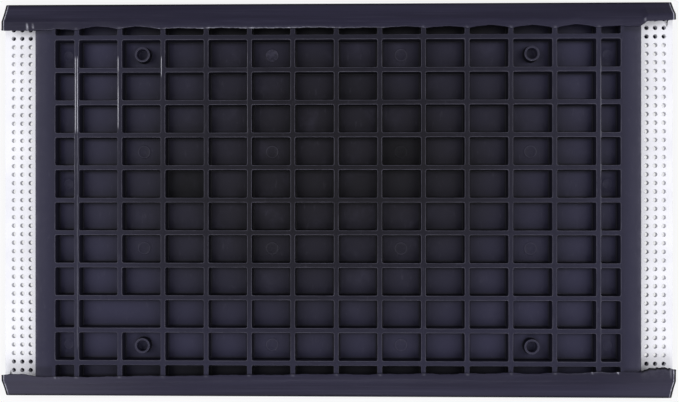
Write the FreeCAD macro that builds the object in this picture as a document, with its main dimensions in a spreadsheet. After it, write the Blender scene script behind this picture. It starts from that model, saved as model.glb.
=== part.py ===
import FreeCAD, Part
import math
import os

import Sketcher
from FreeCAD import Placement, Rotation, Vector

# Ribbed tray panel on a perforated sheet, held between two soft ramp rails.
# Frame: millimetres, +Z up, X along the length, Y across. The origin is the centre of the footprint,
# on the plane that the rails stand on. The ribbed, open side of the panel faces +Z.
os.makedirs("parts", exist_ok=True)

doc = FreeCAD.newDocument("ribbed_tray")

# driving dimensions
# alias: (value in millimetres, degrees or a count, what it is)
DIMENSIONS = {
    "pitch_long": (40.0, "rib spacing along X"),
    "pitch_cross": (30.0, "rib spacing along Y"),
    "ribs_long": (13, "ribs that run along Y"),
    "ribs_cross": (11, "ribs that run along X"),
    "rib_width": (4.2, "width of a rib at its top"),
    "rib_height": (9.5, "depth of the pockets between the ribs"),
    "floor_thick": (2.0, "floor of the panel"),
    "pocket_corner": (2.0, "corner radius of a pocket"),
    "pocket_draft": (2.0, "draft angle of the pocket walls"),
    "double_column": (1, "the double pocket's first column, counted from 0 at the left"),
    "double_row": (2, "the double pocket's row, counted from 0 at the front"),
    "side_wall": (3.0, "wall along the long edges"),
    "wall_chamfer": (2.5, "chamfer on the long edges, under the rails"),
    "band_round": (3.0, "rounding on the outer edge of the end bands"),
    "band_skin": (2.5, "skin of the hollow end bands"),
    "ring_outer": (14.2, "outer diameter of the ring bosses"),
    "ring_inner": (9.0, "inner diameter of the ring bosses"),
    "ring_height": (7.0, "height of the ring bosses above the floor"),
    "pad_outer": (12.0, "diameter of the low round pads"),
    "pad_height": (0.4, "height of the low round pads"),
    "spot_step": (120.0, "spacing of bosses and pads along X"),
    "spot_step_cross": (90.0, "spacing of bosses and pads along Y"),
    "sheet_length": (624.0, "length of the perforated sheet"),
    "sheet_width": (360.0, "width of the perforated sheet"),
    "sheet_thick": (4.0, "thickness of the perforated sheet"),
    "hole_diameter": (4.0, "perforation"),
    "hole_pitch": (8.0, "perforation pitch, both ways"),
    "hole_columns": (5, "columns of perforations in the margin at each end"),
    "hole_last": (304.0, "outermost column of perforations from the centre"),
    "hole_rows": (45, "perforations along Y"),
    "rail_length": (613.6, "length of a rail between its end caps"),
    "rail_outer": (183.0, "outer face of a rail from the centre line"),
    "rail_web": (2.6, "thickness of the rail's upright web"),
    "rail_foot": (3.0, "thickness of the foot flange under the sheet"),
    "rail_foot_inner": (150.0, "inner edge of the foot flange"),
    "rail_shoulder": (10.4, "height where the ramp meets the web"),
    "rail_crease": (166.0, "where the ramp meets the flat lip"),
    "rail_lip": (159.0, "inner edge of the lip"),
    "rail_skin": (1.8, "thickness of the lip and ramp"),
    "rail_crease_in": (0.6, "how far inside the crease the ramp's underside starts"),
    "rail_ramp_fill": (0.9, "extra thickness where the ramp meets the web"),
    "rail_round": (1.2, "rounding on the rail's outer edges"),
    "cap_thick": (2.7, "thickness of a rail end cap"),
    "cap_proud": (1.8, "how far a cap stands proud of the lip"),
    "screw_x": (272.0, "screws from the centre, along X"),
    "screw_step": (120.0, "screw spacing along Y"),
    "screw_shank": (3.9, "screw shank"),
    "screw_head": (7.2, "screw head diameter"),
    "screw_head_high": (1.9, "screw head height"),
    "screw_length": (11.5, "screw shank length under the washer"),
    "washer_outer": (10.0, "washer diameter"),
    "washer_play": (0.4, "how much wider than the shank the washer's hole is"),
    "washer_thick": (0.8, "washer thickness"),
    "post_outer": (9.0, "screw post diameter"),
}

sheet = doc.addObject("Spreadsheet::Sheet", "Sizes")
for row, (alias, (value, words)) in enumerate(DIMENSIONS.items(), start=1):
    sheet.set(f"A{row}", words)
    sheet.set(f"B{row}", str(value))
    sheet.setAlias(f"B{row}", alias)
doc.recompute()


def size(alias):
    """The number in the sheet's cell of that alias."""
    return float(getattr(sheet, alias))


# heights of the stack, from the standing plane up
SHEET_BASE = "Sizes.rail_foot"
PANEL_BASE = "(Sizes.rail_foot + Sizes.sheet_thick)"
PANEL_HEIGHT = "(Sizes.floor_thick + Sizes.rib_height)"
PANEL_LENGTH = "((Sizes.ribs_long + 1) * Sizes.pitch_long)"
POCKETS_LENGTH = "(Sizes.ribs_long * Sizes.pitch_long)"
POCKETS_WIDTH = "(Sizes.ribs_cross * Sizes.pitch_cross)"
PANEL_WIDTH = f"({POCKETS_WIDTH} + 2 * Sizes.side_wall)"
RIB_TOP = f"({PANEL_BASE} + {PANEL_HEIGHT})"


# helpers
def new_body(label):
    """A PartDesign body whose Label becomes the name of its file."""
    body = doc.addObject("PartDesign::Body", label)
    body.Label = label
    return body


def new_sketch(body, name, plane, offset=None):
    """A sketch on one of the body's origin planes. offset maps x, y, z to expressions."""
    sketch = body.newObject("Sketcher::SketchObject", name)
    origin = [f for f in body.Origin.OriginFeatures if f.Role == plane][0]
    sketch.AttachmentSupport = (origin, "")
    sketch.MapMode = "FlatFace"
    for axis, expression in (offset or {}).items():
        sketch.setExpression(f"AttachmentOffset.Base.{axis}", expression)
    return sketch


def drive(sketch, kind, places, expression):
    """Adds a dimensional constraint and binds its value to an expression."""
    start = 1.0
    index = sketch.addConstraint(Sketcher.Constraint(kind, *places, start))
    sketch.setExpression(f"Constraints[{index}]", expression)


def outline(sketch, points):
    """A closed outline through points of (x, y) expressions, all of them positive or the text 0."""
    value = lambda text: doc.Sizes.evalExpression(text.replace("Sizes.", ""))
    spots = []
    for x, y in points:
        spots.append(Vector(float(value(x)), float(value(y)), 0))
    for k, spot in enumerate(spots):
        sketch.addGeometry(Part.LineSegment(spot, spots[(k + 1) % len(spots)]), False)
    for k in range(len(spots)):
        sketch.addConstraint(Sketcher.Constraint("Coincident", k, 2, (k + 1) % len(spots), 1))
    for k, (x, y) in enumerate(points):
        for kind, text, axis in (("DistanceX", x, -2), ("DistanceY", y, -1)):
            if text == "0":
                sketch.addConstraint(Sketcher.Constraint("PointOnObject", k, 1, axis))
                continue
            start = spots[k].x if kind == "DistanceX" else spots[k].y
            index = sketch.addConstraint(Sketcher.Constraint(kind, -1, 1, k, 1, start))
            sketch.setExpression(f"Constraints[{index}]", text)


def rectangle(sketch, wide, high):
    """A rectangle centred on the sketch's origin."""
    corners = [Vector(-1, -1, 0), Vector(1, -1, 0), Vector(1, 1, 0), Vector(-1, 1, 0)]
    for k in range(4):
        sketch.addGeometry(Part.LineSegment(corners[k], corners[(k + 1) % 4]), False)
        sketch.addConstraint(Sketcher.Constraint("Horizontal" if k % 2 == 0 else "Vertical", k))
    for k in range(4):
        sketch.addConstraint(Sketcher.Constraint("Coincident", k, 2, (k + 1) % 4, 1))
    sketch.addConstraint(Sketcher.Constraint("Symmetric", 0, 1, 1, 2, -1, 1))
    drive(sketch, "DistanceX", (0, 1, 0, 2), wide)
    drive(sketch, "DistanceY", (1, 1, 1, 2), high)


def circle(sketch, diameter):
    """A circle on the sketch's origin."""
    index = sketch.addGeometry(Part.Circle(Vector(0, 0, 0), Vector(0, 0, 1), 2.0), False)
    sketch.addConstraint(Sketcher.Constraint("Coincident", index, 3, -1, 1))
    drive(sketch, "Diameter", (index,), diameter)


def pad(body, sketch, length, name, backwards=False):
    """A pad of the sketch, as long as the expression says."""
    feature = body.newObject("PartDesign::Pad", name)
    feature.Profile = sketch
    feature.Reversed = backwards
    feature.setExpression("Length", length)
    return feature


def pocket(body, sketch, length, name, backwards=False):
    """A pocket of the sketch. It goes down from its plane, or up if backwards."""
    feature = body.newObject("PartDesign::Pocket", name)
    feature.Profile = sketch
    feature.Reversed = backwards
    feature.setExpression("Length", length)
    return feature


def grid_of(body, feature, sketch, name, steps):
    """Repeats a feature along the sketch's own axes. steps: (axis, length, count) of expressions."""
    multi = body.newObject("PartDesign::MultiTransform", name)
    multi.Originals = [feature]
    moves = []
    for axis, length, count in steps:
        pattern = body.newObject("PartDesign::LinearPattern", f"{name}_{axis}")
        pattern.Direction = (sketch, [axis])
        pattern.setExpression("Length", length)
        pattern.setExpression("Occurrences", count)
        moves.append(pattern)
    multi.Transformations = moves
    body.Tip = multi
    return multi


# the ribbed panel
def make_panel_blank():
    """The panel before its pockets are sunk: a block with hollow end bands and their screw posts."""
    body = new_body("panel_blank")
    block = new_sketch(body, "block_outline", "XY_Plane")
    rectangle(block, PANEL_LENGTH, PANEL_WIDTH)
    block_pad = pad(body, block, PANEL_HEIGHT, "block")
    doc.recompute()
    chamfered = round_edges(body, block_pad, "long_edges", "PartDesign::Chamfer", "Size",
                            "Sizes.wall_chamfer", "Y")
    round_edges(body, chamfered, "end_edges", "PartDesign::Fillet", "Radius", "Sizes.band_round", "X")

    # hollow end bands, open below, with three screw posts in each
    band_inner = f"({POCKETS_LENGTH} / 2 + Sizes.band_skin)"
    band_width = "(Sizes.pitch_long / 2 - 2 * Sizes.band_skin)"
    hollow = new_sketch(body, "band_hollow_outline", "XY_Plane", {"x": f"-({band_inner} + {band_width} / 2)"})
    rectangle(hollow, band_width, f"({POCKETS_WIDTH} - 2 * Sizes.band_skin)")
    depth = f"({PANEL_HEIGHT} - Sizes.band_skin)"
    hollow_cut = pocket(body, hollow, depth, "band_hollow", backwards=True)
    doc.recompute()
    both_ends = ("H_Axis", f"2 * {band_inner} + {band_width}", "2")
    grid_of(body, hollow_cut, hollow, "band_hollows", [both_ends])
    doc.recompute()
    steps = [("H_Axis", "2 * Sizes.screw_x", "2"), ("V_Axis", "2 * Sizes.screw_step", "3")]
    for name, diameter in (("post", "Sizes.post_outer"), ("pilot", "Sizes.screw_shank")):
        place = {"x": "-Sizes.screw_x", "y": "-Sizes.screw_step"}
        sketch = new_sketch(body, f"{name}_outline", "XY_Plane", place)
        circle(sketch, diameter)
        if name == "post":
            feature = pad(body, sketch, depth, name)
        else:
            feature = pocket(body, sketch, depth, name, backwards=True)
        doc.recompute()
        grid_of(body, feature, sketch, f"{name}s", steps)
        doc.recompute()
    return body


def round_edges(body, base, name, kind, prop, amount, axis):
    """Chamfers or rounds the two top edges that lie farthest out along X or Y."""
    box = base.Shape.BoundBox
    reach = box.YMax if axis == "Y" else box.XMax
    edges = []
    for k, edge in enumerate(base.Shape.Edges, start=1):
        middle = edge.BoundBox.Center
        out = abs(middle.y) if axis == "Y" else abs(middle.x)
        if abs(edge.BoundBox.ZMin - box.ZMax) < 0.01 and abs(out - reach) < 0.01:
            edges.append(f"Edge{k}")
    feature = body.newObject(kind, name)
    feature.Base = (base, edges)
    feature.setExpression(prop, amount)
    body.Tip = feature
    doc.recompute()
    return feature


def rounded_wire(wide, high, radius, z):
    """A rectangle with round corners, centred on the origin at height z."""
    half_x, half_y, parts = wide / 2 - radius, high / 2 - radius, []
    for k, (sx, sy) in enumerate(((1, 1), (-1, 1), (-1, -1), (1, -1))):
        middle = Vector(sx * half_x, sy * half_y, z)
        angle = 90 * k
        arc = Part.makeCircle(radius, middle, Vector(0, 0, 1), angle, angle + 90)
        parts.append(arc)
        nx, ny = ((-1, 1), (-1, -1), (1, -1), (1, 1))[k]
        turn = math.radians(angle + 90)
        begin = middle + Vector(radius * math.cos(turn), radius * math.sin(turn), 0)
        finish = Vector(nx * half_x, ny * half_y, z) + (begin - middle)
        parts.append(Part.makeLine(begin, finish))
    return Part.Wire(parts)


def pocket_tool(wide, high):
    """The space inside one pocket: drafted walls, round corners, from the floor to above the ribs."""
    deep, radius = size("rib_height"), size("pocket_corner")
    lean = math.tan(math.radians(size("pocket_draft")))
    inset = deep * lean
    over = 1.0
    low = rounded_wire(wide - 2 * inset, high - 2 * inset, radius - inset, 0)
    top = rounded_wire(wide + 2 * over * lean, high + 2 * over * lean, radius + over * lean, deep + over)
    return Part.makeLoft([low, top], True, True)


def cell_edges(count, pitch, rib):
    """(centre, width) of each pocket between the ribs, with a half-width one at each end."""
    outer = count * pitch / 2
    cells = [(-outer + (pitch - rib) / 4, (pitch - rib) / 2)]
    for k in range(count - 1):
        cells.append((-outer + pitch / 2 + (k + 0.5) * pitch, pitch - rib))
    cells.append((outer - (pitch - rib) / 4, (pitch - rib) / 2))
    return cells


def make_pocket_spaces():
    """Every pocket's space as one compound. One rib segment is left out, which makes a double one."""
    along = cell_edges(int(size("ribs_long")), size("pitch_long"), size("rib_width"))
    across = cell_edges(int(size("ribs_cross")), size("pitch_cross"), size("rib_width"))
    column, row = int(size("double_column")), int(size("double_row"))
    spaces, made = [], {}
    for i, (x, wide) in enumerate(along):
        for j, (y, high) in enumerate(across):
            if j == row and i == column + 1:
                continue
            if j == row and i == column:
                x, wide = x + size("pitch_long") / 2, wide + size("pitch_long")
            key = (round(wide, 4), round(high, 4))
            if key not in made:
                made[key] = pocket_tool(wide, high)
            space = made[key].copy()
            space.translate(Vector(x, y, 0))
            for spot in spots_in(x, y):
                space = space.cut(spot)
            spaces.append(space)
            x, wide = along[i]
    feature = doc.addObject("Part::Feature", "pocket_spaces")
    feature.Shape = Part.makeCompound(spaces)
    feature.setExpression("Placement.Base.z", "Sizes.floor_thick")
    return feature


def spots_in(x, y):
    """What stands on the floor of the pocket centred at (x, y): a ring boss, a low pad, or nothing."""
    column = x / size("spot_step") + 1.5
    row = y / size("spot_step_cross") + 1.5
    if abs(column - round(column)) > 0.01 or abs(row - round(row)) > 0.01:
        return []
    if round(column) not in range(4) or round(row) not in range(4):
        return []
    place, up = Vector(x, y, 0), Vector(0, 0, 1)
    if round(column) in (0, 3) and round(row) in (0, 3):
        outer = Part.makeCylinder(size("ring_outer") / 2, size("ring_height"), place, up)
        inner = Part.makeCylinder(size("ring_inner") / 2, size("ring_height"), place, up)
        return [outer.cut(inner)]
    return [Part.makeCylinder(size("pad_outer") / 2, size("pad_height"), place, up)]


def make_cell_panel():
    """One moulding: the blank with every pocket sunk into it."""
    blank, spaces = make_panel_blank(), make_pocket_spaces()
    panel = doc.addObject("Part::Cut", "cell_panel")
    panel.Label = "cell_panel"
    panel.Base, panel.Tool = blank, spaces
    panel.setExpression("Placement.Base.z", PANEL_BASE)
    return panel


# the perforated sheet
def make_perforated_sheet():
    """A flat sheet, punched with round holes on a square grid in a margin at each end."""
    feature = doc.addObject("Part::Feature", "perforated_sheet")
    feature.Label = "perforated_sheet"
    long, wide, pitch = size("sheet_length"), size("sheet_width"), size("hole_pitch")
    rows, margin, last = int(size("hole_rows")), int(size("hole_columns")), size("hole_last")
    corners = [Vector(sx * long / 2, sy * wide / 2, 0) for sx, sy in ((-1, -1), (1, -1), (1, 1), (-1, 1))]
    wires = [Part.makePolygon(corners + corners[:1])]
    for i in range(2 * margin):
        x = last - (i // 2) * pitch
        for j in range(rows):
            spot = Vector(x if i % 2 else -x, (j - (rows - 1) / 2) * pitch, 0)
            wires.append(Part.Wire(Part.Circle(spot, Vector(0, 0, 1), size("hole_diameter") / 2).toShape()))
    face = Part.makeFace(wires, "Part::FaceMakerBullseye")
    feature.Shape = face.extrude(Vector(0, 0, size("sheet_thick")))
    feature.setExpression("Placement.Base.z", SHEET_BASE)
    return feature


# rails and their caps
RAMP_TOP = f"({RIB_TOP} + Sizes.rail_skin)"
RAMP_DROP = "1.2 * Sizes.rail_skin"


def make_rail(label, turn):
    """A soft extrusion: foot flange under the sheet, upright web, ramp, and a lip over the rib ends."""
    body = new_body(label)
    plane = new_sketch(body, f"{label}_section", "YZ_Plane")
    inner_web = "(Sizes.rail_outer - Sizes.rail_web)"
    outline(
        plane,
        [
            ("Sizes.rail_foot_inner", "0"),
            ("Sizes.rail_outer", "0"),
            ("Sizes.rail_outer", "Sizes.rail_shoulder"),
            ("Sizes.rail_crease", RAMP_TOP),
            ("Sizes.rail_lip", RAMP_TOP),
            ("Sizes.rail_lip", RIB_TOP),
            ("(Sizes.rail_crease - Sizes.rail_crease_in)", RIB_TOP),
            (inner_web, f"(Sizes.rail_shoulder - {RAMP_DROP} + Sizes.rail_ramp_fill)"),
            (inner_web, "Sizes.rail_foot"),
            ("Sizes.rail_foot_inner", "Sizes.rail_foot"),
        ],
    )
    rail = body.newObject("PartDesign::Pad", f"{label}_extrusion")
    rail.Profile = plane
    rail.Midplane = True
    rail.setExpression("Length", "Sizes.rail_length")
    doc.recompute()
    edges = []
    for k, edge in enumerate(rail.Shape.Edges, start=1):
        middle = edge.BoundBox.Center
        if edge.Length > 500 and middle.y > size("rail_outer") - 0.01:
            edges.append(f"Edge{k}")
    rounding = body.newObject("PartDesign::Fillet", f"{label}_rounding")
    rounding.Base = (rail, edges)
    rounding.setExpression("Radius", "Sizes.rail_round")
    body.Tip = rounding
    body.Placement = Placement(Vector(0, 0, 0), Rotation(Vector(0, 0, 1), turn))
    return body


def make_rail_cap(label, side, turn):
    """A thin plate that closes one end of a rail, a little proud of the lip. side is -1 or 1 along X."""
    body = new_body(label)
    cap_inner = "(Sizes.rail_lip - Sizes.cap_proud)"
    plane = new_sketch(body, f"{label}_section", "YZ_Plane")
    outline(
        plane,
        [
            (cap_inner, PANEL_BASE),
            ("Sizes.rail_outer", PANEL_BASE),
            ("Sizes.rail_outer", "Sizes.rail_shoulder"),
            ("Sizes.rail_crease", RAMP_TOP),
            (cap_inner, RAMP_TOP),
        ],
    )
    plane.setExpression("AttachmentOffset.Base.z",
                        "Sizes.rail_length / 2" if side > 0 else "-Sizes.rail_length / 2")
    pad(body, plane, "Sizes.cap_thick", f"{label}_plate", backwards=side < 0)
    body.Placement = Placement(Vector(0, 0, 0), Rotation(Vector(0, 0, 1), turn))
    return body


# screws and washers
def make_screw(label, x, y):
    """A pan-head screw, turned from one half section. Its head is below the sheet, its point up."""
    body = new_body(label)
    plane = new_sketch(body, f"{label}_section", "XZ_Plane")
    shoulder = "(Sizes.screw_head_high + Sizes.washer_thick + Sizes.screw_length)"
    outline(
        plane,
        [
            ("0", "0"),
            ("(0.42 * Sizes.screw_head)", "0"),
            ("(0.5 * Sizes.screw_head)", "(0.35 * Sizes.screw_head_high)"),
            ("(0.5 * Sizes.screw_head)", "Sizes.screw_head_high"),
            ("(0.5 * Sizes.screw_shank)", "Sizes.screw_head_high"),
            ("(0.5 * Sizes.screw_shank)", f"({shoulder} - Sizes.screw_shank / 2)"),
            ("0", shoulder),
        ],
    )
    turned = body.newObject("PartDesign::Revolution", f"{label}_turned")
    turned.Profile = plane
    turned.ReferenceAxis = (plane, ["V_Axis"])
    turned.Angle = 360
    doc.recompute()
    slot = new_sketch(body, f"{label}_slot_outline", "XY_Plane")
    rectangle(slot, "(0.72 * Sizes.screw_head)", "(0.14 * Sizes.screw_head)")
    pocket(body, slot, "(0.45 * Sizes.screw_head_high)", f"{label}_slot", backwards=True)
    place_under_sheet(body, x, y, "Sizes.washer_thick + Sizes.screw_head_high")
    return body


def make_washer(label, x, y):
    """A flat washer between a screw head and the sheet."""
    body = new_body(label)
    plane = new_sketch(body, f"{label}_outline", "XY_Plane")
    circle(plane, "Sizes.washer_outer")
    circle(plane, "(Sizes.screw_shank + Sizes.washer_play)")
    pad(body, plane, "Sizes.washer_thick", f"{label}_disc")
    place_under_sheet(body, x, y, "Sizes.washer_thick")
    return body


def place_under_sheet(body, x, y, below):
    """Hangs a body under the sheet at a screw's place: below is how far its lowest point is."""
    body.setExpression("Placement.Base.x", f"{x} * Sizes.screw_x")
    body.setExpression("Placement.Base.y", f"{y} * Sizes.screw_step")
    body.setExpression("Placement.Base.z", f"{SHEET_BASE} - ({below})")


# the whole assembly
pieces = [make_cell_panel(), make_perforated_sheet()]
for rail_name, rail_turn in (("rear", 0), ("front", 180)):
    pieces.append(make_rail(f"{rail_name}_rail", rail_turn))
    for side in (-1, 1):
        # the front rail is the rear one turned half round, so its left end was the right one
        shown = side if rail_turn == 0 else -side
        end_name = "left" if shown < 0 else "right"
        pieces.append(make_rail_cap(f"{rail_name}_rail_cap_{end_name}", side, rail_turn))
for x_side, x_name in ((-1, "left"), (1, "right")):
    for y_side, y_name in ((-1, "front"), (0, "middle"), (1, "rear")):
        pieces.append(make_screw(f"panel_screw_{x_name}_{y_name}", x_side, y_side))
        pieces.append(make_washer(f"panel_washer_{x_name}_{y_name}", x_side, y_side))
doc.recompute()

# checks and files
for item in doc.Objects:
    if "Invalid" in item.State or "Error" in item.State:
        raise RuntimeError(f"{item.Label} did not compute: {item.State}")
for old in os.listdir("parts"):
    if old.endswith(".step"):
        os.remove(os.path.join("parts", old))
for piece in pieces:
    shape = piece.Shape
    if shape.isNull() or not shape.isValid() or len(shape.Solids) != 1:
        raise RuntimeError(f"{piece.Label} is not one valid solid")
    shape.exportStep(os.path.join("parts", f"{piece.Label}.step"))
    box = shape.BoundBox
    print(f"{piece.Label}: {shape.Volume / 1000:.1f} cm3, "
          f"{box.XLength:.1f} x {box.YLength:.1f} x {box.ZLength:.1f} mm, z from {box.ZMin:.2f}")
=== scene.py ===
import bpy
import numpy as np
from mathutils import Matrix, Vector


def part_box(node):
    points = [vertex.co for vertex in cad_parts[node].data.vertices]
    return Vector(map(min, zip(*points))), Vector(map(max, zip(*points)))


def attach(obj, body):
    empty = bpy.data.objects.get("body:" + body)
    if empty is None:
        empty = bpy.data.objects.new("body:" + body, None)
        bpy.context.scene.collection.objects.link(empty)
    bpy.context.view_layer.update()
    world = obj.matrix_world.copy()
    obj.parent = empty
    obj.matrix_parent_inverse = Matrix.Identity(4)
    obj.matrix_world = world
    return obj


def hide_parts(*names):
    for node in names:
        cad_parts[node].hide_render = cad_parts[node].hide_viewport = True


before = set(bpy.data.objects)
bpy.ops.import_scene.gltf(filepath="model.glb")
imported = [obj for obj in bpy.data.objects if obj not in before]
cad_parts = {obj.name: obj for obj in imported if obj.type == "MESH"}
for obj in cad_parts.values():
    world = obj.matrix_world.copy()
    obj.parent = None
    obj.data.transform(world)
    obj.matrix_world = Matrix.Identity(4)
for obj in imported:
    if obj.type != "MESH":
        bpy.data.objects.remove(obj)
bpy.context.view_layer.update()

mm = 0.001
print("frame loaded:", len(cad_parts), "nodes")


# mesh helpers

def meshPiece(name, points, faces, attributes):
    # faces is a list of index arrays, each n by 3 or n by 4
    mesh = bpy.data.meshes.new(name)
    corners = np.concatenate([f.ravel() for f in faces]).astype(np.int32)
    sizes = np.concatenate([np.full(len(f), f.shape[1]) for f in faces]).astype(np.int32)
    mesh.vertices.add(len(points))
    mesh.vertices.foreach_set("co", (points * mm).astype(np.float32).ravel())
    mesh.loops.add(len(corners))
    mesh.loops.foreach_set("vertex_index", corners)
    mesh.polygons.add(len(sizes))
    mesh.polygons.foreach_set("loop_start", np.concatenate([[0], np.cumsum(sizes)[:-1]]).astype(np.int32))
    mesh.update(calc_edges=True)
    for key, values in attributes.items():
        layer = mesh.attributes.new(key, "FLOAT", "POINT")
        layer.data.foreach_set("value", values.astype(np.float32).ravel())
    mesh.validate()
    mesh.polygons.foreach_set("use_smooth", np.full(len(mesh.polygons), True))
    piece = bpy.data.objects.new(name, mesh)
    bpy.context.scene.collection.objects.link(piece)
    return piece


def weld(points, faces, extras):
    # points that round to the same place become one, and faces that lose a corner are dropped
    first, back = np.unique(np.round(points, 4), axis=0, return_index=True, return_inverse=True)[1:]
    back = back.ravel()
    return points[first], [back[f] for f in faces], {k: v[first] for k, v in extras.items()}


def splitFaces(faces):
    # quads that have closed up into triangles, or into nothing, are told apart
    a, b, c, d = faces.T
    flat = (a == c) | (b == d)
    pinch = [(a == b), (b == c), (c == d), (d == a)]
    good = ~flat & ~np.logical_or.reduce(pinch)
    threes = [faces[~flat & (np.sum(pinch, 0) == 1) & pinch[k]][:, keep]
              for k, keep in enumerate(([0, 2, 3], [0, 1, 3], [0, 1, 2], [0, 1, 2]))]
    return faces[good], np.concatenate(threes)


def tubeFaces(rings, around):
    # quads between ring after ring of the same number of points
    i = np.arange(rings - 1)[:, None]
    j = np.arange(around)[None, :]
    k = (j + 1) % around
    quads = np.stack([i * around + j, i * around + k, (i + 1) * around + k, (i + 1) * around + j], -1)
    return quads.reshape(-1, 4)


def waves(x, seed, lengths, strengths):
    # a sum of sines with seeded phases, one for each wavelength
    rng = np.random.default_rng(seed)
    phases = rng.uniform(0, 2 * np.pi, len(lengths))
    total = np.zeros_like(x, dtype=float)
    for length, strength, phase in zip(lengths, strengths, phases):
        total = total + strength * np.sin(2 * np.pi * x / length + phase)
    return total


# shader helpers

class Socket:
    # wraps one output, so that shader maths reads as Python
    def __init__(self, shader, link):
        self.shader, self.link = shader, link

    def maths(self, operation, *others):
        return self.shader.node("ShaderNodeMath", {"operation": operation},
                                dict(enumerate((self,) + others)))

    def __add__(self, other):
        return self.maths("ADD", other)

    __radd__ = __add__

    def __sub__(self, other):
        return self.maths("SUBTRACT", other)

    def __rsub__(self, other):
        return self.shader.node("ShaderNodeValue", value=other).maths("SUBTRACT", self)

    def __mul__(self, other):
        return self.maths("MULTIPLY", other)

    def __truediv__(self, other):
        return self.maths("DIVIDE", other)

    def __pow__(self, other):
        return self.maths("POWER", other)

    def absolute(self):
        return self.maths("ABSOLUTE")

    def ramp(self, low, high, start=0.0, end=1.0):
        # a smooth step from start to end as the value goes from low to high
        return self.shader.node("ShaderNodeMapRange", {"interpolation_type": "SMOOTHSTEP"},
                                {0: self, 1: low, 2: high, 3: start, 4: end})


class Shader:
    # one material: its nodes are made by node(), its colours are mixed by mix()
    def __init__(self, name):
        self.material = bpy.data.materials.new(name)
        self.material.use_nodes = True
        self.tree = self.material.node_tree
        self.bsdf = self.tree.nodes["Principled BSDF"]

    def node(self, kind, settings=None, sockets=None, value=None, out=0):
        made = self.tree.nodes.new(kind)
        for key, setting in (settings or {}).items():
            setattr(made, key, setting)
        for key, given in (sockets or {}).items():
            self.feed(made.inputs[key], given)
        if value is not None:
            made.outputs[0].default_value = value
        return Socket(self, made.outputs[out])

    def feed(self, socket, given):
        if isinstance(given, Socket):
            self.tree.links.new(given.link, socket)
        else:
            socket.default_value = given

    def mix(self, factor, first, second):
        # colours in, colour out
        return self.node("ShaderNodeMix", {"data_type": "RGBA", "clamp_factor": True},
                         {0: factor, 6: self.colour(first), 7: self.colour(second)}, out=2)

    def colour(self, given):
        return given if isinstance(given, Socket) else (*given, 1.0)

    def place(self):
        return self.node("ShaderNodeTexCoord", out=3)

    def axes(self, vector):
        made = self.node("ShaderNodeSeparateXYZ", {}, {0: vector})
        return [Socket(self, made.link.node.outputs[k]) for k in range(3)]

    def scaled(self, vector, x, y, z):
        return self.node("ShaderNodeVectorMath", {"operation": "MULTIPLY"}, {0: vector, 1: (x, y, z)})

    def noise(self, vector, scale, detail=3.0, rough=0.55):
        return self.node("ShaderNodeTexNoise", {"noise_dimensions": "3D"},
                         {"Vector": vector, "Scale": scale, "Detail": detail, "Roughness": rough})

    def cells(self, vector, scale):
        # distance to the nearest of points strewn at random
        return self.node("ShaderNodeTexVoronoi", {"feature": "F1"}, {"Vector": vector, "Scale": scale})

    def attribute(self, name):
        return self.node("ShaderNodeAttribute", {"attribute_name": name}, out=2)

    def bump(self, height, distance, strength, after=None):
        sockets = {"Strength": strength, "Distance": distance, "Height": height}
        if after is not None:
            sockets["Normal"] = after
        return self.node("ShaderNodeBump", {}, sockets)

    def surface(self, **inputs):
        names = {"colour": "Base Color", "roughness": "Roughness", "metallic": "Metallic",
                 "normal": "Normal", "specular": "Specular IOR Level"}
        for key, given in inputs.items():
            self.feed(self.bsdf.inputs[names[key]], self.colour(given) if key == "colour" else given)
        return self.material


# materials

panelLook = {
    "dark": (0.0062, 0.0056, 0.0088),    # middle of the panel
    "light": (0.0155, 0.0148, 0.0315),   # towards the ends
    "dust": (0.036, 0.034, 0.054),
    "wear": (0.072, 0.069, 0.094),
    "soot": (0.0012, 0.0012, 0.0017),    # painted shade on walls, pocket feet, rib tops and under the lips; also grime in soiled pockets
    "shine": (0.30, 0.30, 0.34),
    "roughness": 0.48,
    # painted highlight lines on a few rib shoulders, which are also glossier: rib, place across it, from y,
    # to y in mm, amount
    "pitch": 40.0,
    "streaks": ((-6, -1.2, 62, 133, 1.0), (-6, 0.6, 62, 133, 1.0), (-6, 0.6, -138, 62, 0.2),
                (-6, -1.9, 0, 62, 0.2), (-5, -1.5, 66, 133, 1.0), (-4, -1.4, 114, 133, 0.9),
                (6, 1.9, 20, 132, 0.3), (6, 1.9, -132, 20, 0.14), (-2, -1.9, 60, 136, 0.1)),
}


def streakLines(x, y, look):
    # each line is a narrow band in x, cut off softly at its two ends in y
    total = None
    for rib, aside, start, end, amount in look["streaks"]:
        place = (rib * look["pitch"] + aside) * mm
        line = (x - place).absolute().ramp(0.00014, 0.00036, amount, 0.0)
        line = line * y.ramp((start - 2) * mm, (start + 5) * mm)
        line = line * y.ramp((end + 1) * mm, (end - 4) * mm)
        total = line if total is None else total + line
    return total


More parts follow.
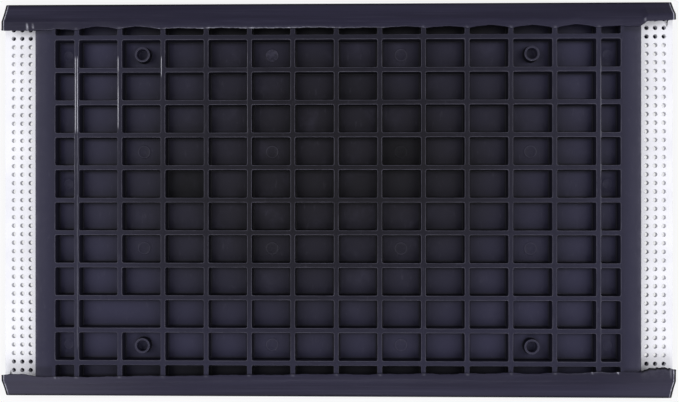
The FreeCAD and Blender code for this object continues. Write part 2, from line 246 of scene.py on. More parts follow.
def panelMaterial(look):
    s = Shader("panelPlastic")
    place = s.place()
    x, y = s.axes(place)[:2]
    relief, edge, shade = s.attribute("relief"), s.attribute("edge"), s.attribute("shade")
    grime, dusted = s.attribute("grime"), s.attribute("dusted")
    # the moulding is darker and greyer in the middle, lighter and more violet outward
    cloud = s.noise(place, 9.0, 4.0, 0.6)
    far = ((x + 0.005) / 0.24) ** 2.0 + ((y - 0.02) / 0.17) ** 2.0 - y
    colour = s.mix((far + cloud * 0.8 - 0.32).ramp(-0.05, 1.5), look["dark"], look["light"])
    # floors hold a little dust, rib tops are darkened with painted shade, a few scuffs are real wear and the
    # shoulders get a painted highlight
    dustCloud = s.noise(place, 38.0, 6.0, 0.68)
    colour = s.mix(dustCloud.ramp(0.50, 0.80) * (1.0 - relief) * 0.22, colour, look["dust"])
    colour = s.mix(relief * 0.26, colour, look["soot"])
    scuffs = s.noise(s.scaled(place, 1.0, 0.25, 1.0), 420.0, 3.0, 0.6).ramp(0.60, 0.74)
    colour = s.mix(scuffs * 0.10, colour, look["wear"])
    edgeSheen = s.noise(place, 75.0, 4.0, 0.6).ramp(0.30, 0.70, 0.45, 1.0)
    colour = s.mix(edge * edgeSheen * 0.8, colour, look["wear"])
    speck = s.cells(place, 160.0).ramp(0.10, 0.04)
    colour = s.mix(speck * dustCloud.ramp(0.5, 0.7) * 0.35, colour, look["dust"])
    # painted shade on the pocket walls, at their foot and round the floor features
    colour = s.mix(shade * 0.85, colour, look["soot"])
    # painted shadow in the gap under the rails' lips, most of all in the middle of the length
    under = y.absolute().ramp(0.1520, 0.1560) * (1.0 - relief.ramp(0.80, 0.95))
    colour = s.mix(under * x.absolute().ramp(0.24, 0.12, 0.35, 0.90), colour, look["soot"])
    colour = s.mix(grime * dustCloud.ramp(0.2, 0.6, 0.6, 1.0) * 0.85, colour, look["soot"])
    colour = s.mix(dusted * s.noise(place, 300.0, 3.0).ramp(0.35, 0.6) * 0.45, colour, look["dust"])
    # the painted highlight lines, broken up along their length
    broken = s.noise(s.scaled(place, 1.0, 0.3, 1.0), 160.0, 3.0, 0.6).ramp(0.30, 0.55, 0.35, 1.0)
    streak = streakLines(x, y, look) * broken * relief.ramp(0.90, 0.97)
    colour = s.mix(streak, colour, look["shine"])
    rough = look["roughness"] + dustCloud * 0.16 - edge * 0.12 + grime * 0.1 - streak * 0.2
    normal = s.bump(s.noise(place, 900.0, 2.0, 0.5), 0.00006, 0.5)
    normal = s.bump(s.noise(place, 55.0, 2.0, 0.5), 0.0006, 0.25, normal)
    return s.surface(colour=colour, roughness=rough, normal=normal, specular=0.10)


railLook = {
    "base": (0.0088, 0.0080, 0.0168),
    "pale": (0.0190, 0.0177, 0.0345),
    "wear": (0.047, 0.045, 0.070),
    "shine": (0.34, 0.34, 0.40),
    "soot": (0.0012, 0.0012, 0.0020),
    "faded": (0.042, 0.040, 0.058),      # the front rail towards its ends
    "lipTone": 0.30,                     # how much darker the flat lip is than the ramp
    "roughness": 0.42,
}


def railMaterial(look):
    s = Shader("railPlastic")
    place = s.place()
    x, y = s.axes(place)[:2]
    edge, glint, shade = s.attribute("edge"), s.attribute("glint"), s.attribute("shade")
    # long soft bands along the rail, then finer lines from the extrusion die
    cloud = s.noise(s.scaled(place, 0.07, 2.6, 1.7), 34.0, 4.0, 0.6)
    colour = s.mix(cloud.ramp(0.18, 0.84), look["base"], look["pale"])
    colour = s.mix(y.absolute().ramp(0.1675, 0.1630) * look["lipTone"], colour, look["base"])
    ends = x.ramp(-0.12, -0.32, 0.0, 0.60) + x.ramp(0.22, 0.32, 0.0, 0.30)
    colour = s.mix(y.ramp(-0.150, -0.165) * ends, colour, look["faded"])
    lines = s.noise(s.scaled(place, 0.012, 1.0, 1.0), 700.0, 2.0, 0.5)
    colour = s.mix(lines.ramp(0.50, 0.75) * 0.16, colour, look["wear"])
    # rubbed patches are real wear; the edge values add a painted highlight on the lip, the shoulders and the
    # caps' ends
    rub = s.noise(s.scaled(place, 0.5, 2.0, 1.0), 260.0, 4.0, 0.65).ramp(0.60, 0.78)
    colour = s.mix(rub * 0.14 + edge * 0.40, colour, look["wear"])
    # painted shade under the lip, along the outer shoulder, in the gap under the curled lip, at the rib
    # crossings and over the caps' rounded ends
    colour = s.mix(shade * 0.9, colour, look["soot"])
    # painted highlights: glints along the lip, on the creases and on the caps' ends
    broken = s.noise(place, 330.0, 3.0, 0.6).ramp(0.36, 0.62, 0.35, 1.0)
    colour = s.mix(glint * broken, colour, look["shine"])
    rough = look["roughness"] + cloud * 0.14 - edge * 0.12 - glint * 0.15
    normal = s.bump(lines, 0.00008, 0.6)
    normal = s.bump(s.noise(s.scaled(place, 0.4, 1.0, 1.0), 70.0, 3.0, 0.5), 0.0006, 0.3, normal)
    return s.surface(colour=colour, roughness=rough, normal=normal, specular=0.07)


sheetLook = {
    "pale": (0.545, 0.545, 0.585), "dull": (0.50, 0.50, 0.54),
    "bore": (0.27, 0.27, 0.30),
    "pitch": 8.0, "hole": 2.0, "last": 307.0,
}


def sheetMaterial(look):
    s = Shader("sheetPlastic")
    place = s.place()
    x, y = s.axes(place)[:2]
    cloud = s.noise(place, 30.0, 4.0, 0.6)
    colour = s.mix(cloud.ramp(0.35, 0.75), look["pale"], look["dull"])
    dirt = s.cells(place, 90.0).ramp(0.07, 0.02) * s.noise(place, 60.0).ramp(0.5, 0.65)
    colour = s.mix(dirt * 0.4, colour, look["bore"])
    # painted shade in and round the holes' bores, stronger towards the panel: distance from the nearest
    # hole's centre
    half, hole = look["pitch"] / 2 * mm, look["hole"] * mm
    away = (x.maths("PINGPONG", half) ** 2.0 + y.maths("PINGPONG", half) ** 2.0) ** 0.5
    bore = away.ramp(hole * 1.02, hole * 1.16, 1.0, 0.0) * x.absolute().ramp(0.312, 0.284, 0.15, 0.9)
    bore = bore * x.absolute().ramp((look["last"] + 1) * mm, look["last"] * mm)
    colour = s.mix(bore, colour, look["bore"])
    normal = s.bump(s.noise(place, 1300.0, 2.0), 0.00004, 0.5)
    return s.surface(colour=colour, roughness=0.38 + cloud * 0.15, normal=normal, specular=0.15)


def zincMaterial():
    s = Shader("zincPlate")
    place = s.place()
    grain = s.noise(s.scaled(place, 1.0, 1.0, 0.3), 2200.0, 3.0, 0.6)
    cloud = s.noise(place, 260.0, 4.0, 0.6)
    colour = s.mix(cloud.ramp(0.3, 0.7), (0.55, 0.55, 0.56), (0.72, 0.71, 0.68))
    return s.surface(colour=colour, metallic=1.0, roughness=0.28 + cloud * 0.2,
                     normal=s.bump(grain, 0.00003, 0.6))


panelPlastic = panelMaterial(panelLook)
railPlastic = railMaterial(railLook)
sheetPlastic = sheetMaterial(sheetLook)
zincPlate = zincMaterial()
print("materials made")


# the ribbed panel

panelShape = {
    "pitchX": 40.0, "pitchY": 30.0,
    "ribsX": 13, "ribsY": 11,            # ribs that cross X, ribs that cross Y
    "rib": 4.3, "deep": 9.5,
    "corner": 1.5,                       # pocket corner radius
    "shoulder": 0.6,                     # rounding of the rib tops
    "sideMargin": 0.4,                   # beyond the outer pockets, under the rails
    "sidePoints": 4, "cornerPoints": 4,  # points along a pocket's side and round its corner
    "wallLean": 0.3, "floorRound": 0.5,
    "fade": (1.1, 2.2),                  # how far from the walls their shade dies away
    "doubleColumn": 1, "doubleRow": 2,   # the pocket that runs on into the next one
    "ringOuter": 7.1, "ringInner": 5.0, "ringHigh": 6.6,
    "markRadius": 5.6, "markHigh": 0.2,
    "spotStep": (120.0, 90.0),           # spacing of the rings and round marks, in x and in y
    "spotReach": (200.0, 150.0),         # none are further out than this
    "ringFrom": 100.0,                   # the spots beyond this, both ways, are rings
    "slimFrom": 250.0, "slimRows": (1, 6, 10),
    # over the end bands and down the sides: reach in x, reach in y, drop from the rib tops, painted
    # highlight on the rounded edge
    "border": ((266.0, 165.6, 0.0, 0.0), (270.5, 165.8, 0.0, 0.1), (273.5, 166.1, 0.15, 0.1),
               (276.0, 166.5, 0.5, 0.2), (278.0, 166.9, 1.1, 0.5), (279.2, 167.4, 2.0, 1.0),
               (279.8, 167.8, 3.2, 0.6), (280.0, 168.0, 4.6, 0.0), (280.0, 168.0, 10.9, 0.0),
               (279.6, 167.6, 11.5, 0.0)),
    # darker, soiled pockets: column and row counted from the centre, amount
    "soiled": ((-3.5, 0.5, 1.0), (1.5, 1.5, 0.9), (1.5, 0.5, 0.5), (0.5, 0.5, 0.4), (2.5, 0.5, 0.3),
               (0.5, 3.5, 0.35), (-0.5, 0.5, 0.3), (-1.5, 0.5, 0.25)),
}


def pocketLoop(shape):
    # one trip round a pocket, anticlockwise from its right side: u and v say where on the
    # inner rectangle a point hangs, from -1 to 1, and normal says which way it faces
    sides, corners = shape["sidePoints"], shape["cornerPoints"]
    turn = np.arange(4) * np.pi / 2
    out = np.stack([np.cos(turn), np.sin(turn)], -1).round()
    across = np.stack([-out[:, 1], out[:, 0]], -1)
    along = np.linspace(-1, 1, sides + 1)[:-1]
    straight = out[:, None] + along[None, :, None] * across[:, None]
    corner = np.repeat((out + across)[:, None], corners, 1)
    bend = np.linspace(0, np.pi / 2, corners + 1)[:-1]
    angle = np.concatenate([np.repeat(turn[:, None], sides, 1), turn[:, None] + bend], 1).ravel()
    hang = np.concatenate([straight, corner], 1).reshape(-1, 2)
    return hang, np.stack([np.cos(angle), np.sin(angle)], -1)


def pocketGrid(count, pitch, rib, margin):
    # centre, half size and the two margins of every pocket along one axis, half pockets at the ends
    edge, half = count * pitch / 2, (pitch - rib) / 4
    centre = np.concatenate([[-edge + half], -edge + pitch * (np.arange(count - 1) + 1.0), [edge - half]])
    reach = np.concatenate([[half], np.full(count - 1, 2 * half), [half]])
    low = np.concatenate([[margin], np.full(count, rib / 2)])
    return centre, reach, low, low[::-1]


def pocketRings(hang, outer, face, shoulder, feature, shape, top):
    # a pocket as rings, from the middle of the ribs down to the centre of its floor:
    # ring = hanging point + normal * (corner radius - inset), at a height, a painted highlight and a painted
    # shade of its own
    count, floor, radius = len(hang), top - shape["deep"], shape["corner"]
    lean, soft = shape["wallLean"], shape["floorRound"]
    made = [(outer, np.full(count, top), 0.0, 0.0)]
    for out, down, wear in ((1.0, 0.0, 0.0), (0.6, 0.06, 1.0), (0.2, 0.35, 1.0), (0.0, 1.0, 0.0)):
        away = radius + out * shoulder[:, None, None]
        made.append((hang + face * away, top - down * shoulder, wear, down * 0.6))
    for inset, up, shade in ((lean, soft, 1.0), (lean + 0.26 * soft, 0.26 * soft, 1.0),
                             (lean + soft, 0.0, 0.9), (radius, 0.0, 0.5)):
        made.append((hang + face * (radius - inset), np.full(count, floor + up), 0.0, shade))
    middle, half = hang.mean(1, keepdims=True), np.ptp(hang, axis=1, keepdims=True) / 2
    for reach, shade in zip(shape["fade"], (0.2, 0.0)):
        made.append((middle + (hang - middle) * (1 - reach / half), np.full(count, floor), 0.0, shade))
    # the circles start at the lower right, towards the loop's first point
    turn = np.linspace(0, 2 * np.pi, hang.shape[1], endpoint=False) - np.pi * 3 / 16
    circle = np.stack([np.cos(turn), np.sin(turn)], -1)[None]
    for reach, up, wear, shade in feature + [(0.0, feature[-1][1] if feature else 0.0, 0.0, 0.0)]:
        made.append((middle + circle * reach, np.full(count, floor + up), wear, shade))
    flat = np.stack([m[0] for m in made], 1)
    high = np.broadcast_to(np.stack([m[1] for m in made], 1)[..., None], flat.shape[:-1])
    marks = [np.broadcast_to(np.array([m[k] for m in made])[None, :, None], high.shape) for k in (2, 3)]
    return np.concatenate([flat, high[..., None]], -1), np.stack(marks, -1)


def floorFeatures(shape):
    # nothing, a round mark, a ring boss and a slim mark, each as rings of (radius, height, painted
    # highlight, painted shade)
    outer, inner, high = shape["ringOuter"], shape["ringInner"], shape["ringHigh"]
    boss = [(outer + 1.5, 0, 0, 0), (outer + 0.7, 0, 0, 0.5), (outer + 0.1, 0.2, 0, 1), (outer, 0.8, 0, 1),
            (outer - 0.1, high - 0.5, 0, 0.7), (outer - 0.3, high - 0.1, 0.9, 0),
            (outer - 0.7, high, 0.2, 0), (inner + 0.7, high, 0, 0), (inner + 0.3, high - 0.1, 0.8, 0),
            (inner + 0.1, high - 0.6, 0, 0.4), (inner - 0.1, 0.6, 0, 0.6), (inner - 0.5, 0, 0, 0.3),
            (inner - 1.4, 0, 0, 0), (2.0, 0, 0, 0)]
    radius, raised = shape["markRadius"], shape["markHigh"]
    mark = [(radius + 1.5, 0, 0, 0), (radius + 0.3, 0, 0, 0.2), (radius, raised, 0.22, 0),
            (radius - 0.35, raised, 0.22, 0), (radius - 0.8, 0, 0, 0.15), (2.2, -0.05, 0, 0.1)]
    slim = [(radius - 0.9, 0, 0, 0), (radius - 1.2, raised, 0.08, 0), (radius - 1.5, raised, 0.08, 0),
            (radius - 1.9, 0, 0, 0.1), (1.2, 0, 0, 0)]
    return [], mark, boss, slim


def pocketKinds(column, row, x, y, shape):
    # the index of each pocket's floor feature, or 4 in the double pocket; x, y = distance from the centre
    (stepX, stepY), (farX, farY) = shape["spotStep"], shape["spotReach"]
    spot = np.isclose(x % stepX, stepX / 2) & (x < farX) & np.isclose(y % stepY, stepY / 2) & (y < farY)
    ring = spot & (x > shape["ringFrom"]) & (y > shape["ringFrom"])
    slim = (x > shape["slimFrom"]) & np.isin(row, shape["slimRows"])
    pair = (shape["doubleColumn"], shape["doubleColumn"] + 1)
    double = (row == shape["doubleRow"]) & np.isin(column, pair)
    return np.select([double, ring, spot, slim], [4, 2, 1, 3], 0)


def panelBorder(points, edge, base, top, shape):
    # the panel's outermost points, scaled out loop by loop, then closed underneath
    onEdge = np.isclose(np.abs(points[:, :2]), edge, atol=1e-4).any(-1)
    rim = np.unique(points[onEdge].round(4), axis=0)
    rim = rim[np.argsort(np.arctan2(rim[:, 1] / edge[1], rim[:, 0] / edge[0]))]
    border = np.array([(*edge, 0.0, 0.0)] + list(shape["border"]) + [(0.0, 0.0, top - base, 0.0)])
    loops = np.repeat(rim[None], len(border), 0)
    loops[..., :2] *= (border[:, :2] / edge)[:, None]
    loops[..., 2] = top - border[:, 2, None]
    edgeSheen = np.repeat(border[:, 3], len(rim))
    return loops.reshape(-1, 3), np.stack([edgeSheen, 0 * edgeSheen], -1), tubeFaces(len(border), len(rim))[:, ::-1]


def panelTones(points, edge, top, shape):
    # relief = height above the floor / pocket depth; grime and dust lie low in a few pockets
    x, y, z = points.T
    deep = shape["deep"]
    tones = {"relief": np.where(np.abs(x) > edge[0] + 0.01, 0.45, np.clip((z - top + deep) / deep, 0, 1))}
    low = z < top - deep * 0.7
    tones["grime"] = np.zeros(len(points))
    for column, row, amount in shape["soiled"]:
        inside = (np.abs(x / shape["pitchX"] - column) < 0.46) & (np.abs(y / shape["pitchY"] - row) < 0.44)
        tones["grime"] = np.maximum(tones["grime"], inside * low * amount)
    rubbed = np.hypot(x + 1.5 * shape["pitchX"], y - 4.5 * shape["pitchY"]) < shape["markRadius"] + 0.1
    tones["dusted"] = (rubbed & low).astype(float)
    return tones


def buildPanel(shape):
    bottom, ceiling = (np.array(corner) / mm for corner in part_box("cell_panel"))
    base, top = bottom[2], ceiling[2]
    rib = shape["rib"]
    centreX, reachX, leftX, rightX = pocketGrid(shape["ribsX"], shape["pitchX"], rib, rib / 2)
    centreY, reachY, lowY, highY = pocketGrid(shape["ribsY"], shape["pitchY"], rib, shape["sideMargin"])
    loop, normal = pocketLoop(shape)
    spread = normal / np.abs(normal).max(-1, keepdims=True)
    radius = shape["corner"]

    def hung(i, j):
        # hanging points of pockets i, j, and their points on the middle line of the ribs around
        half = np.stack([reachX[i], reachY[j]], -1)[:, None] - radius
        hang = np.stack([centreX[i], centreY[j]], -1)[:, None] + loop * half
        marginX = np.where(spread[:, 0] > 0, rightX[i][:, None], leftX[i][:, None])
        marginY = np.where(spread[:, 1] > 0, highY[j][:, None], lowY[j][:, None])
        return hang, hang + spread * (radius + np.stack([marginX, marginY], -1))

    grids = np.meshgrid(np.arange(len(centreX)), np.arange(len(centreY)), indexing="ij")
    column, row = (grid.ravel() for grid in grids)
    kind = pocketKinds(column, row, np.abs(centreX[column]), np.abs(centreY[row]), shape)
    points, marks, faces, total = [], [], [], 0
    for k, feature in enumerate(floorFeatures(shape)):
        here = kind == k
        i, j = column[here], row[here]
        hang, outer = hung(i, j)
        least = np.minimum.reduce([leftX[i], rightX[i], lowY[j], highY[j]])
        shoulder = np.minimum(shape["shoulder"], 0.8 * least)
        made, tone = pocketRings(hang, outer, normal, shoulder, feature, shape, top)
        count, deep, around = made.shape[:3]
        starts = total + np.arange(count)[:, None, None] * deep * around
        points.append(made.reshape(-1, 3))
        marks.append(tone.reshape(-1, 2))
        faces.append((tubeFaces(deep, around)[None] + starts).reshape(-1, 4))
        total += count * deep * around

    # the double pocket: the outer points of two pockets, with straight walls where the rib would be
    pair, line = np.array([0, 1]) + shape["doubleColumn"], shape["doubleRow"]
    hang, outer = hung(pair, np.full(2, line))
    face = np.repeat(normal[None], 2, 0)
    for k, side in ((0, 1), (1, -1)):
        inner = normal[:, 0] * side > 1e-6
        wall = np.sign(np.round(normal[inner, 1], 6))
        face[k, inner] = np.stack([0 * wall, wall], -1)
        hang[k, inner] = np.stack([outer[k, inner, 0], centreY[line] + wall * (reachY[line] - radius)], -1)
    facing, atCorner = spread[:, 0].round(6), np.abs(spread).min(-1).round(6) == 1
    keep = np.stack([(facing < 1) | atCorner, facing > -1])
    outer, hang, face = outer[keep], hang[keep], face[keep]
    away = outer - (centreX[pair].mean(), centreY[line])
    order = np.argsort(np.arctan2(away[:, 1], away[:, 0]))
    made, tone = pocketRings(hang[order][None], outer[order][None], face[order][None],
                             np.array([shape["shoulder"]]), [], shape, top)
    points.append(made.reshape(-1, 3))
    marks.append(tone.reshape(-1, 2))
    faces.append(tubeFaces(*made.shape[1:3]) + total)
    total += made.shape[1] * made.shape[2]

    edge = np.array([centreX[-1] + reachX[-1] + rightX[-1], centreY[-1] + reachY[-1] + highY[-1]])
    loops, edgeSheen, around = panelBorder(np.concatenate(points), edge, base, top, shape)
    points, marks = np.concatenate(points + [loops]), np.concatenate(marks + [edgeSheen])
    faces = np.concatenate(faces + [around + total])
    points, (faces,), extra = weld(points, [faces], {"edge": marks[:, 0], "shade": marks[:, 1]})
    quads, threes = splitFaces(faces)
    extra.update(panelTones(points, edge, top, shape))
    print("panel:", len(points), "points,", len(quads) * 2 + len(threes), "triangles")
    return meshPiece("ribbedPanel", points, [quads, threes], extra)


panel = buildPanel(panelShape)
panel.data.materials.append(panelPlastic)
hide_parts("cell_panel")
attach(panel, "root")


# the soft rails

railShape = {
    "step": 0.8,
    "top": 20.25, "under": 18.55,
    "pitch": 40.0,                       # of the ribs that the lip lies over
    "lipEnds": (272.0, 12.0),            # the lip leaves the ribs here, over this length
    "sag": 0.55,                         # how far the lip drops between ribs
    "creaseHigh": 0.04, "creaseWide": 0.75,
    # the lip's inner edge: (place along x, distance from the centre line, draw-back between ribs)
    "rearLip": ((-310, 156.8, 0), (-297, 156.4, 0), (-286, 156.6, 0), (-264, 156.8, 0), (-258, 157.4, 0.6),
                (-242, 157.2, 0.8), (-234, 157.4, 2.6), (-200, 157.6, 2.8), (-160, 157.6, 1.6),
                (-130, 157.6, 0.9), (-60, 157.8, 0.7), (20, 157.8, 0.8), (90, 157.8, 1.6), (160, 157.6, 2.6),
                (230, 157.4, 2.8), (242, 157.8, 1.2), (262, 158.2, 0.9), (268, 158.8, 0), (278, 159.2, 0),
                (284, 163.2, 0), (296, 163.2, 0), (310, 164.4, 0)),
    "frontLip": ((-310, 161.2, 0), (-300, 160.4, 0), (-290, 160.8, 0), (-276, 163.2, 0), (-250, 163.0, 0.3),
                 (-150, 161.6, 0.3), (-40, 159.8, 0.4), (60, 159.0, 0.6), (160, 157.8, 0.9),
                 (240, 156.8, 1.3), (262, 156.4, 0.4), (276, 156.8, 0), (280, 155.2, 0), (286, 152.8, 0),
                 (300, 152.6, 0), (310, 155.0, 0)),
    # where the lip shines: (place along x, width of the stretch, amount)
    "rearGlint": ((-70, 90, 1.0), (-262, 14, 0.2)),
    "frontGlint": ((236, 24, 0.25), (300, 10, 0.3)),
    # raised creases across the lip: place along x, from and to across it, amount
    "rearCreases": ((-285.3, 157.0, 163.8, 1.0), (-280.0, 157.6, 162.4, 0.5), (281.6, 162.4, 166.0, 0.3)),
    "frontCreases": ((-260.0, 162.9, 164.2, 0.25), (-256.0, 163.6, 164.8, 0.12), (233.6, 156.4, 158.2, 0.6),
                     (257.0, 156.0, 158.0, 0.9), (304.6, 154.0, 156.4, 0.25)),
    "ragged": (277.0, 306.0),            # where the front lip has curled in, with painted shade for the gap under its edge
    "rampFoot": (182.1, 11.2),           # where the ramp meets the web
    "hollow": 0.4,                       # how far the ramp sinks between its ends
    # web, foot flange and inside, after the ramp: distance out, height, painted highlight, painted shade
    "web": ((182.6, 10.8, 0.1, 1), (182.9, 10.2, 0.1, 1), (183.0, 9.3, 0, 0.8), (183.0, 5.0, 0, 0),
            (183.0, 1.3, 0, 0), (182.7, 0.4, 0.4, 0), (181.8, 0.0, 0, 0), (166.0, 0.0, 0, 0),
            (151.0, 0.0, 0, 0), (150.3, 0.3, 0.4, 0), (150.0, 1.0, 0, 0), (150.0, 2.1, 0, 0),
            (150.3, 2.75, 0.4, 0), (151.0, 3.0, 0, 0), (166.0, 3.0, 0, 0.5), (180.4, 3.0, 0, 1),
            (180.4, 9.1, 0, 1), (174.0, 13.1, 0, 1)),
}


def railSection(lip, sag, shape):
    # the section at every place along x, from under the lip over its top and outwards, down the ramp and the
    # web and back inside, as (distance out, height, painted highlight, painted shade)
    one = np.ones_like(lip)
    crease = np.maximum(lip + 5.2, 165.0)
    top, under = shape["top"] - sag, shape["under"] - sag
    fold = shape["top"] - 0.5 - sag * 0.6
    part = [(lip + 0.10, under + 0.25, 0.0, 0.8), (lip, under + 0.8, 0.1, 0.5),
            (lip + 0.12, top - 0.45, 0.3, 0), (lip + 0.4, top - 0.1, 0.45, 0), (lip + 0.9, top, 0.0, 0),
            (lip + 2.6, top, 0.0, 0), (crease - 1.0, top - 0.02, 0.0, 0), (crease, top - 0.12, 0.06, 0),
            (crease + 0.9, fold, 0.06, 0)]
    # ramp height = straight from the fold to the ramp's foot, less hollow * sin(pi * t)
    footOut, footHigh = shape["rampFoot"]
    # the ramp's last rings carry painted shade, a dark line along its outer shoulder
    for t, shade in ((0.14, 0), (0.29, 0), (0.43, 0), (0.57, 0), (0.71, 0), (0.86, 0), (0.94, 0.35),
                     (1.0, 1.0)):
        out = (crease + 0.9) * (1 - t) + footOut * t
        part.append((out, fold * (1 - t) + footHigh * t - shape["hollow"] * np.sin(np.pi * t), 0.0, shade))
    part += [(out * one, up * one, wear, shade) for out, up, wear, shade in shape["web"]]
    part += [(np.maximum(crease - 0.3, lip + 1.8), under, 0.0, 1), (lip + 0.9, under, 0.0, 1),
             (lip + 0.35, under + 0.05, 0.0, 1)]
    wear, shade = (np.array([p[k] for p in part]) for k in (2, 3))
    return np.stack([np.stack(p[:2], -1) for p in part], 1), wear, shade


def lipLine(x, line, seed, shape):
    # the lip's edge along x: the listed line, drawn back between ribs as sin^1.1, and a little uneven
    place, edge, back = np.array(line).T
    between = np.sin(np.pi * x / shape["pitch"]) ** 2
    lip = np.interp(x, place, edge) + np.interp(x, place, back) * between ** 0.55
    return lip + waves(x, seed, (83, 37, 13, 5), (0.22, 0.16, 0.12, 0.08)), between


def lipTones(x, count, around, glints, ragged, onPanel, shape):
    # painted highlights where the lip shines, a little beside each rib, and painted shade on the ribs
    half = shape["pitch"] / 2
    fromRib = np.abs((x + half) % shape["pitch"] - half)
    shine = np.zeros(count)
    for place, width, amount in glints:
        shine = np.maximum(shine, amount * np.exp(-((x - place) / width) ** 2))
    beside = np.exp(-((fromRib - 3.0) / 1.2) ** 2)
    onRib = np.exp(-(fromRib / 1.3) ** 2) * onPanel
    glint = np.zeros((count, around))
    glint[:, 1:5] = (shine * (0.4 + 0.6 * beside) * (1 - ragged))[:, None] * np.array([0.2, 1.0, 0.8, 0.1])
    glint[:, 2:5] += (0.12 * onRib * (shine < 0.2))[:, None]
    glint[:, 5] += ragged * 0.04
    return glint, 0.9 * onRib * np.clip(shine * 1.5, 0, 1)


def buildRail(side, node, line, glints, creases, shape):
    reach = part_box(node)[1][0] / mm
    x = np.linspace(-reach, reach, int(2 * reach / shape["step"]) + 1)
    lip, between = lipLine(x, line, 5 + side, shape)
    curlStart, curlEnd = shape["ragged"]
    ragged = np.clip(np.minimum(x - curlStart, curlEnd - x) / 2, 0, 1) * (side < 0)
    lip = lip + ragged * waves(x, 21, (6.1, 3.7, 2.3), (0.22, 0.18, 0.14))
    lastRib, fade = shape["lipEnds"]
    onPanel = np.clip((lastRib - np.abs(x)) / fade, 0, 1)
    sag = shape["sag"] * between * onPanel + 0.12 * (1 + waves(x, 9 + side, (140, 47), (0.5, 0.5)))
    section, wear, shade = railSection(lip, sag, shape)
    count, around = section.shape[:2]
    points = np.concatenate([np.broadcast_to(x[:, None, None], (count, around, 1)), section], -1)
    edgeSheens, shades = np.repeat(wear[None], count, 0), np.repeat(shade[None], count, 0)
    glint, dark = lipTones(x, count, around, glints, ragged, onPanel, shape)
    # painted shade along the curled lip's edge and on the rib crossings
    shades[:, :5] = np.maximum(shades[:, :5], ragged[:, None])
    shades[:, 1:4] = np.maximum(shades[:, 1:4], dark[:, None])
    for place, inner, outer, amount in creases:
        # a crease is a narrow ridge, height creaseHigh * exp(-(distance / creaseWide)^2), with a painted
        # highlight on top
        across = (section[..., 0] > inner) & (section[..., 0] < outer)
        ridge = np.exp(-((x[:, None] - place) / shape["creaseWide"]) ** 2) * across
        ridge[:, 12:] = 0
        points[..., 2] += shape["creaseHigh"] * ridge
        glint += amount * ridge
    ends = points[[0, -1]].mean(1)
    if side < 0:
        points[..., 1] *= -1
        ends[:, 1] *= -1
    faces, total = tubeFaces(count, around), count * around
    j = np.arange(around)
    k = (j + 1) % around
    last = total - around
    parts = [faces, np.stack([k, j, 0 * j + total], -1),
             np.stack([j + last, k + last, 0 * j + total + 1], -1)]
    if side > 0:
        parts = [part[:, ::-1] for part in parts]
    extra = {"edge": edgeSheens, "glint": np.clip(glint, 0, 1), "shade": shades}
    extra = {key: np.append(values.ravel(), (0, 0)) for key, values in extra.items()}
    piece = meshPiece(node + "_soft", np.concatenate([points.reshape(-1, 3), ends]), parts, extra)
    dress(piece, node)
    print(node, "made:", total, "points")
    return section[[0, -1]]


def dress(piece, node):
    piece.data.materials.append(railPlastic)
    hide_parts(node)
    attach(piece, "root")


capShape = {
    "foot": 7.0,                         # the cap stands on the sheet at this height
    "outer": 183.0, "inner": 174.0,      # the foot's two edges
    "lipUnder": 15.6,                    # height of the point under the ramp, behind the lip
    # rings from the rail outwards: distance along x, inset from the outline, glint, shade
    "rings": ((0.0, 0.2, 0.6, 0.0), (0.1, 0.03, 1.0, 0.0), (0.25, 0.0, 1.0, 0.0), (0.75, 0.0, 1.0, 0.0),
              (0.95, 0.02, 0.0, 0.8), (1.5, 0.05, 0.0, 1.0), (2.3, 0.12, 0.0, 1.0), (2.6, 0.4, 0.0, 1.0),
              (2.7, 0.9, 0.0, 1.0)),
}


def buildCap(side, end, node, section, shape):
    # an end cap: the rail's outline above the sheet, pulled in towards its middle ring by ring
    low, high = (np.array(corner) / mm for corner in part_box(node))
    foot = shape["foot"]
    outline = section[2:22].copy()
    # closed under the ramp: the foot, then back up to just under the lip
    close = [[shape["outer"], foot], [shape["inner"], foot], [outline[0, 0] + 3.0, shape["lipUnder"]],
             outline[0] + [0.8, -1.4]]
    outline = np.concatenate([outline[outline[:, 1] > foot], close])
    ahead, behind = np.roll(outline, -1, 0), np.roll(outline, 1, 0)
    tangent = ahead - behind
    tangent /= np.linalg.norm(tangent, axis=-1, keepdims=True)
    inward = np.stack([tangent[:, 1], -tangent[:, 0]], -1)
    inward *= np.sign(((outline.mean(0) - outline) * inward).sum(-1, keepdims=True).sum())
    rings = np.array(shape["rings"])
    # how far each ring is pulled in, with the foot kept level
    flat = outline[None] + inward[None] * rings[:, 1, None, None]
    flat[..., 1] = np.maximum(flat[..., 1], foot)
    start = low[0] if end > 0 else high[0]
    x = start + end * rings[:, 0]
    points = np.concatenate([np.broadcast_to(x[:, None, None], (*flat.shape[:2], 1)), flat], -1)
    count, around = points.shape[:2]
    middles = np.stack([points[0].mean(0), points[-1].mean(0)])
    points = np.concatenate([points.reshape(-1, 3), middles])
    points[:, 1] *= side
    j = np.arange(around)
    k = (j + 1) % around
    last = (count - 1) * around
    parts = [tubeFaces(count, around), np.stack([k, j, 0 * j + count * around], -1),
             np.stack([j + last, k + last, 0 * j + count * around + 1], -1)]
    if side * end > 0:
        parts = [part[:, ::-1] for part in parts]
    glint, shade = (np.append(np.repeat(rings[:, k], around), (0, 0)) for k in (2, 3))
    glint = glint * 0.75 * np.clip((points[:, 2] - 9) / 5, 0, 1)
    piece = meshPiece(node + "_soft", points, parts, {"edge": glint * 0.5, "glint": glint, "shade": shade})
    dress(piece, node)


for side, name in ((1, "rear"), (-1, "front")):
    line, glints, creases = (railShape[name + part] for part in ("Lip", "Glint", "Creases"))
    both = buildRail(side, name + "_rail", line, glints, creases, railShape)
    for end, word, section in ((-1, "left", both[0]), (1, "right", both[1])):
        buildCap(side, end, name + "_rail_cap_" + word, section, capShape)
print("caps made")


# CAD nodes that keep their shape

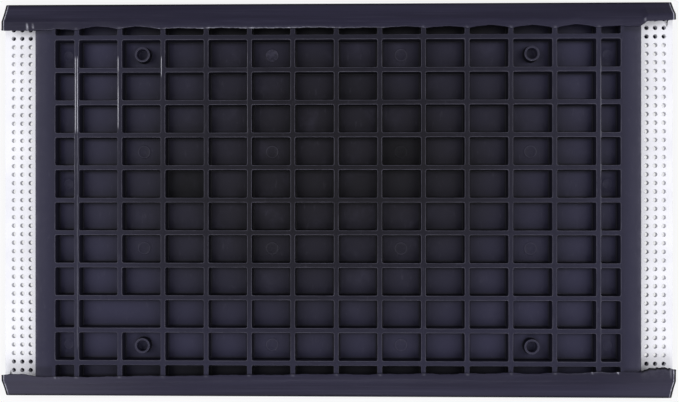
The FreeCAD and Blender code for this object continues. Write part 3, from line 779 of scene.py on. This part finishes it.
def redress(thing, material):
    thing.data.materials.clear()
    thing.data.materials.append(material)


redress(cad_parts["perforated_sheet"], sheetPlastic)
for name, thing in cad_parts.items():
    if name.startswith(("panel_screw", "panel_washer")):
        redress(thing, zincPlate)
print("CAD nodes dressed")


# floor, light and camera

stageLook = {
    "floor": 0.11, "glow": 0.78,         # the floor's own colour, and how much it shines like a light table
    "floorSize": 6.0, "floorDrop": 0.0001,
    "world": 0.36,
    # lamp: place, side of the square, power
    "lamps": {"leftSoft": ((-1.3, 0.2, 1.25), 1.1, 26), "rightSoft": ((1.3, 0.2, 1.25), 1.1, 25),
              "frontSoft": ((0.0, -1.3, 1.3), 1.0, 21)},
}


def makeStage(look):
    bpy.ops.mesh.primitive_plane_add(size=look["floorSize"], location=(0, 0, -look["floorDrop"]))
    floor = bpy.context.object
    floor.name = "paleFloor"
    s = Shader("paleFloor")
    pale = look["floor"]
    floor.data.materials.append(s.surface(colour=(pale, pale, pale * 1.01), roughness=0.9, specular=0.0))
    s.bsdf.inputs["Emission Color"].default_value = (0.99, 0.99, 1.0, 1.0)
    s.bsdf.inputs["Emission Strength"].default_value = look["glow"]
    for name, (place, size, power) in look["lamps"].items():
        lamp = bpy.data.lights.new(name, "AREA")
        lamp.shape = "SQUARE"
        lamp.size = size
        lamp.energy = power
        thing = bpy.data.objects.new(name, lamp)
        thing.location = place
        thing.rotation_euler = (-Vector(place)).to_track_quat("-Z", "Y").to_euler()
        bpy.context.scene.collection.objects.link(thing)
    world = bpy.data.worlds.new("studio")
    world.use_nodes = True
    world.node_tree.nodes["Background"].inputs[0].default_value = (1, 1, 1, 1)
    world.node_tree.nodes["Background"].inputs[1].default_value = look["world"]
    bpy.context.scene.world = world


cameraLook = {
    "lens": 37.5, "sensor": 36.0,
    "aim": (0.0030, -0.0008, 0.0185),    # the point looked at, on the rib tops
    "away": 0.65,
    "lean": 0.9,                         # degrees from straight down, towards the right end
}


def makeCamera(look):
    lens = bpy.data.cameras.new("above")
    lens.lens = look["lens"]
    lens.sensor_width = look["sensor"]
    camera = bpy.data.objects.new("above", lens)
    lean, (x, y, z) = np.radians(look["lean"]), look["aim"]
    camera.location = (x + look["away"] * np.sin(lean), y, z + look["away"] * np.cos(lean))
    camera.rotation_euler = (0, lean, 0)
    bpy.context.scene.collection.objects.link(camera)
    bpy.context.scene.camera = camera


makeStage(stageLook)
makeCamera(cameraLook)
bpy.context.scene.view_settings.view_transform = "Standard"
print("stage set")
